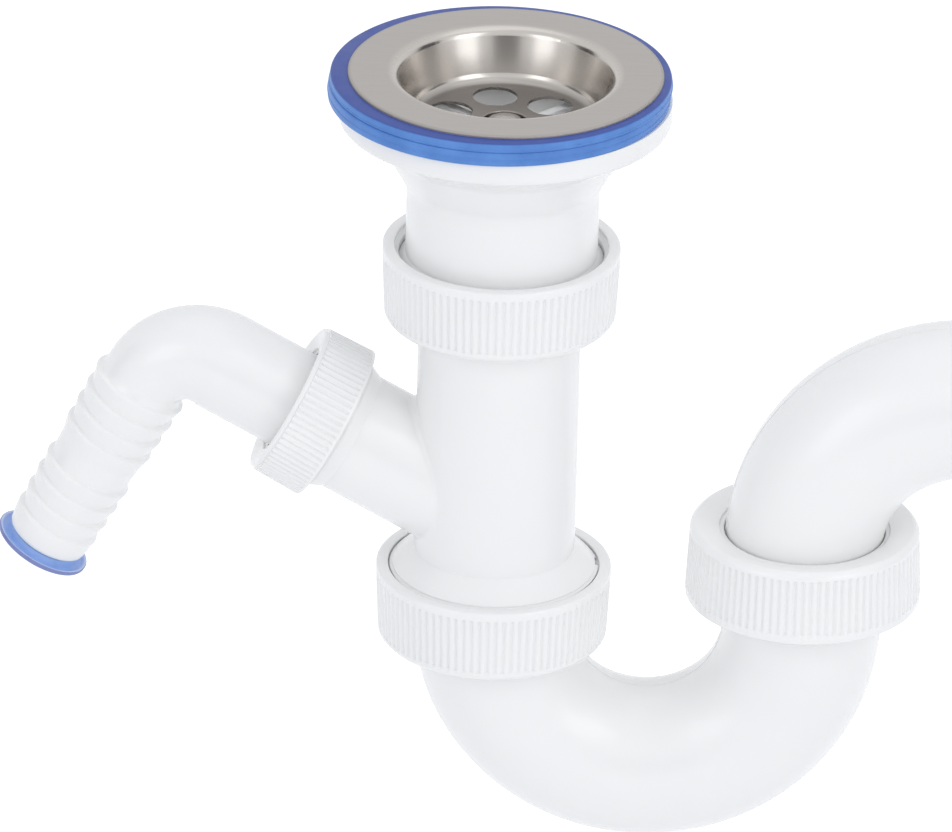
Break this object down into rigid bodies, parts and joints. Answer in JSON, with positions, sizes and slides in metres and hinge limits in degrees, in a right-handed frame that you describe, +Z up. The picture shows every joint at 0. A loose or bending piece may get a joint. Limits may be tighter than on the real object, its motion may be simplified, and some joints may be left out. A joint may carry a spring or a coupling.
{
  "type": "sink waste trap",
  "caption": "White plastic tubular sink trap with a steel strainer, a tee with a hose nozzle, a U-bend and an outlet bend joined by ribbed slip nuts.",
  "frame": {"origin": "sink seat: on the axis of the waste, in the plane where the two gaskets meet, which clamp the sink sheet", "axes": "+Z up along the waste, +X along the U-bend towards the outlet, +Y to the back as the trap is seen with the nozzle on the left"},
  "size_m": [0.2623, 0.0794, 0.1955],
  "materials": {
    "white_plastic": "moulded polypropylene, satin gloss",
    "blue_rubber": "moulded rubber, satin",
    "blue_plastic": "soft moulded polyethylene",
    "stainless_steel": "pressed and polished",
    "brass": "turned"
  },
  "bodies": {
    "waste": {"waste_body": "white_plastic", "strainer_cup": "stainless_steel", "insert_nut": "brass", "upper_gasket": "blue_rubber", "lower_gasket": "blue_rubber"},
    "screw": {"strainer_screw": "stainless_steel"},
    "inlet_nut": {"inlet_nut": "white_plastic"},
    "inlet_seal": {"inlet_seal": "white_plastic"},
    "tee": {"tee": "white_plastic"},
    "trap_nut": {"trap_nut": "white_plastic"},
    "trap_seal": {"trap_seal": "white_plastic"},
    "u_bend": {"u_bend": "white_plastic"},
    "outlet_nut": {"outlet_nut": "white_plastic"},
    "outlet_seal": {"outlet_seal": "white_plastic"},
    "outlet_bend": {"outlet_bend": "white_plastic"},
    "branch_nut": {"branch_nut": "white_plastic"},
    "branch_seal": {"branch_seal": "white_plastic"},
    "nozzle": {"nozzle_elbow": "white_plastic"},
    "plug": {"nozzle_plug": "blue_plastic"}
  },
  "joints": [
    {"name": "screw_turn", "type": "hinge", "parent": "waste", "child": "screw", "pos_m": [0, 0, -0.0099], "axis": [0, 0, 1], "continuous": true},
    {"name": "inlet_nut_turn", "type": "hinge", "parent": "waste", "child": "inlet_nut", "pos_m": [0, 0, -0.0531], "axis": [0, 0, 1], "continuous": true},
    {"name": "inlet_swivel", "type": "hinge", "parent": "waste", "child": "inlet_seal", "pos_m": [0, 0, -0.0531], "axis": [0, 0, 1], "continuous": true},
    {"name": "inlet_telescope", "type": "slide", "parent": "inlet_seal", "child": "tee", "axis": [0, 0, 1], "range_m": [-0.012, 0.008]},
    {"name": "trap_nut_turn", "type": "hinge", "parent": "tee", "child": "trap_nut", "pos_m": [0, 0, -0.1357], "axis": [0, 0, 1], "continuous": true},
    {"name": "trap_swivel", "type": "hinge", "parent": "tee", "child": "trap_seal", "pos_m": [0, 0, -0.1357], "axis": [0, 0, 1], "range_deg": [-135, 135]},
    {"name": "trap_telescope", "type": "slide", "parent": "trap_seal", "child": "u_bend", "axis": [0, 0, 1], "range_m": [-0.008, 0]},
    {"name": "outlet_nut_turn", "type": "hinge", "parent": "u_bend", "child": "outlet_nut", "pos_m": [0.073, 0, -0.1173], "axis": [0, 0, 1], "continuous": true},
    {"name": "outlet_swivel", "type": "hinge", "parent": "u_bend", "child": "outlet_seal", "pos_m": [0.073, 0, -0.1173], "axis": [0, 0, -1], "range_deg": [-135, 135]},
    {"name": "outlet_telescope", "type": "slide", "parent": "outlet_seal", "child": "outlet_bend", "axis": [0, 0, 1], "range_m": [0, 0.008]},
    {"name": "branch_nut_turn", "type": "hinge", "parent": "tee", "child": "branch_nut", "pos_m": [-0.04482, 0.00337, -0.0858], "axis": [-0.8805, 0.0662, 0.4695], "continuous": true},
    {"name": "nozzle_swivel", "type": "hinge", "parent": "tee", "child": "branch_seal", "pos_m": [-0.04482, 0.00337, -0.0858], "axis": [-0.8805, 0.0662, 0.4695], "range_deg": [-150, 150]},
    {"name": "nozzle_telescope", "type": "slide", "parent": "branch_seal", "child": "nozzle", "axis": [-0.8805, 0.0662, 0.4695], "range_m": [0, 0.006]},
    {"name": "plug_pull", "type": "slide", "parent": "nozzle", "child": "plug", "axis": [-0.4682, 0.0352, -0.8829], "range_m": [0, 0.025]}
  ]
}
